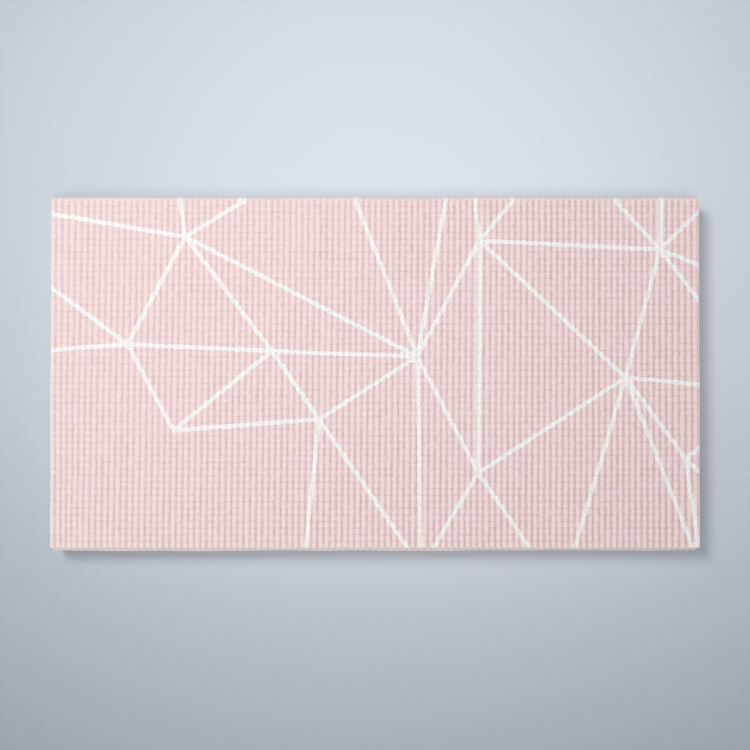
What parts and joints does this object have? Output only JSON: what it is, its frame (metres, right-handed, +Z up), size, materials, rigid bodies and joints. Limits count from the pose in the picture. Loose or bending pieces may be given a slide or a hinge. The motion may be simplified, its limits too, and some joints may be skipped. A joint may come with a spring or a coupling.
{
  "type": "folding exercise mat",
  "caption": "Thin foam exercise mat with a printed, embossed top face, creased across into equal panels that fold up like a concertina.",
  "frame": {"origin": "middle of the underside of the folded mat, on the floor", "axes": "+X along the creases, +Y along the panels to the far fold, +Z up through the stack"},
  "size_m": [0.58, 0.3196, 0.0362],
  "materials": {
    "print_foam": "soft closed-cell PVC foam, dusty pink with a matt off-white printed line pattern, embossed with fine ribs",
    "scrim": "thin open-weave polyester cloth, sealed inside the foam and seen only as thread ends at the cut edges",
    "back_foam": "soft closed-cell PVC foam, plain dusty pink, embossed with fine ribs and a little grippy"
  },
  "bodies": {
    "panel_1": {"panel_1_print_foam": "print_foam", "panel_1_scrim": "scrim", "panel_1_back_foam": "back_foam"},
    "panel_2": {"panel_2_print_foam": "print_foam", "panel_2_scrim": "scrim", "panel_2_back_foam": "back_foam", "crease_1_2_print_foam": "print_foam", "crease_1_2_scrim": "scrim", "crease_1_2_back_foam": "back_foam"},
    "panel_3": {"panel_3_print_foam": "print_foam", "panel_3_scrim": "scrim", "panel_3_back_foam": "back_foam", "crease_2_3_print_foam": "print_foam", "crease_2_3_scrim": "scrim", "crease_2_3_back_foam": "back_foam", "crease_3_4_print_foam": "print_foam", "crease_3_4_scrim": "scrim", "crease_3_4_back_foam": "back_foam"},
    "panel_4": {"panel_4_print_foam": "print_foam", "panel_4_scrim": "scrim", "panel_4_back_foam": "back_foam", "crease_4_5_print_foam": "print_foam", "crease_4_5_scrim": "scrim", "crease_4_5_back_foam": "back_foam"},
    "panel_5": {"panel_5_print_foam": "print_foam", "panel_5_scrim": "scrim", "panel_5_back_foam": "back_foam"}
  },
  "joints": [
    {"name": "crease_2_3_hinge", "type": "hinge", "parent": "panel_3", "child": "panel_2", "pos_m": [0, -0.1545, 0.02175], "axis": [1, 0, 0], "range_deg": [0, 180], "deforming": ["crease_2_3_print_foam", "crease_2_3_scrim", "crease_2_3_back_foam"]},
    {"name": "crease_1_2_hinge", "type": "hinge", "parent": "panel_2", "child": "panel_1", "pos_m": [0, 0.1545, 0.02905], "axis": [-1, 0, 0], "range_deg": [0, 180], "deforming": ["crease_1_2_print_foam", "crease_1_2_scrim", "crease_1_2_back_foam"]},
    {"name": "crease_3_4_hinge", "type": "hinge", "parent": "panel_3", "child": "panel_4", "pos_m": [0, 0.1545, 0.01445], "axis": [1, 0, 0], "range_deg": [0, 180], "deforming": ["crease_3_4_print_foam", "crease_3_4_scrim", "crease_3_4_back_foam"]},
    {"name": "crease_4_5_hinge", "type": "hinge", "parent": "panel_4", "child": "panel_5", "pos_m": [0, -0.1545, 0.00715], "axis": [-1, 0, 0], "range_deg": [0, 180], "deforming": ["crease_4_5_print_foam", "crease_4_5_scrim", "crease_4_5_back_foam"]}
  ],
  "couplings": [
    {"joint": "crease_3_4_hinge", "follows": "crease_2_3_hinge", "ratio": 1}
  ]
}
